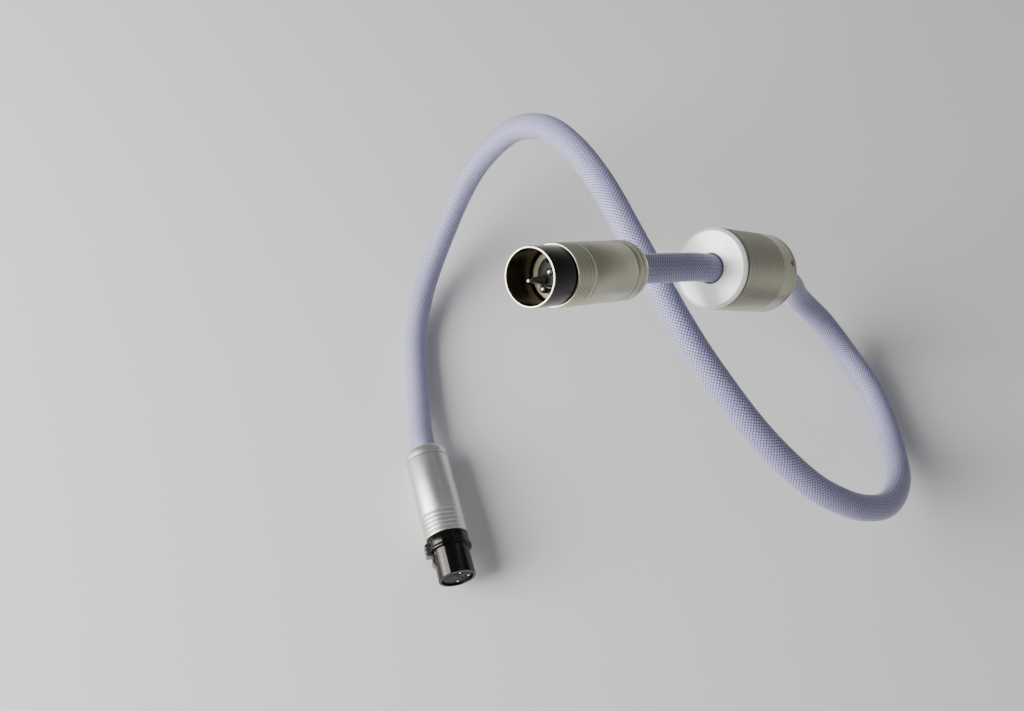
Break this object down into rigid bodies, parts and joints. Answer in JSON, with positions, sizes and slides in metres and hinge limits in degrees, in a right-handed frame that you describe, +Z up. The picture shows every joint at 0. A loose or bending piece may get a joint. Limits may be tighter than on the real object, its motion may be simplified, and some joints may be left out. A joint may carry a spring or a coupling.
{
  "type": "microphone cable with balanced connectors",
  "caption": "Short stiff braided balanced audio cable with a male plug, a female latching socket and a round in-line filter barrel, curled and standing on a table.",
  "frame": {"origin": "on the surface that the cable stands on, under the middle of the two connectors and the barrel", "axes": "+Z up; the female connector lies on the surface and points towards -Y; the male connector rises towards -X and -Y"},
  "size_m": [0.2232, 0.1906, 0.1945],
  "materials": {
    "braided_jacket": "lavender jacket under a fine clear braid",
    "satin_aluminium": "satin anodised, fine turned grain",
    "barrel_aluminium": "satin anodised, turned",
    "black_nickel": "polished black nickel",
    "bright_nickel": "polished nickel",
    "bronze_ring": "dull bronze",
    "insulator": "moulded, glass-filled",
    "contact_metal": "polished silver plate",
    "spring_steel": "bright",
    "clamp_plastic": "moulded",
    "bush_rubber": "matt",
    "ferrite": "sintered, matt",
    "wire_red": "insulation",
    "wire_white": "insulation",
    "wire_green": "insulation"
  },
  "bodies": {
    "cable_assembly": {"cable": "braided_jacket", "male_sleeve": "satin_aluminium", "male_rear_cap": "satin_aluminium", "male_cable_clamp": "clamp_plastic", "male_shell": "black_nickel", "male_insert_ring": "bronze_ring", "male_insert": "insulator", "male_pin_1": "contact_metal", "male_pin_2": "contact_metal", "male_pin_3": "contact_metal", "male_wire_1": "wire_red", "male_wire_2": "wire_white", "male_wire_3": "wire_green", "female_sleeve": "satin_aluminium", "female_rear_cap": "satin_aluminium", "female_cable_clamp": "clamp_plastic", "female_housing": "black_nickel", "female_insert": "insulator", "female_socket_1": "contact_metal", "female_socket_2": "contact_metal", "female_socket_3": "contact_metal", "female_wire_1": "wire_red", "female_wire_2": "wire_white", "female_wire_3": "wire_green", "latch_pivot_pin": "spring_steel", "latch_spring": "spring_steel", "barrel_front_cap": "barrel_aluminium", "barrel_body": "barrel_aluminium", "barrel_rear_cap": "barrel_aluminium", "barrel_grub_screw_1": "spring_steel", "barrel_grub_screw_2": "spring_steel", "barrel_front_bush": "bush_rubber", "barrel_rear_bush": "bush_rubber", "filter_core_half_1": "ferrite", "filter_core_half_2": "ferrite", "filter_core_case": "clamp_plastic"},
    "latch": {"latch_lever": "bright_nickel"}
  },
  "joints": [
    {"name": "latch_press", "type": "hinge", "parent": "cable_assembly", "child": "latch", "pos_m": [-0.06621, -0.04215, 0.01373], "axis": [0.1489, 0.1156, 0.9821], "range_deg": [0, 5], "stiffness_Nm_per_rad": 0.15, "springref_deg": -1.72}
  ]
}
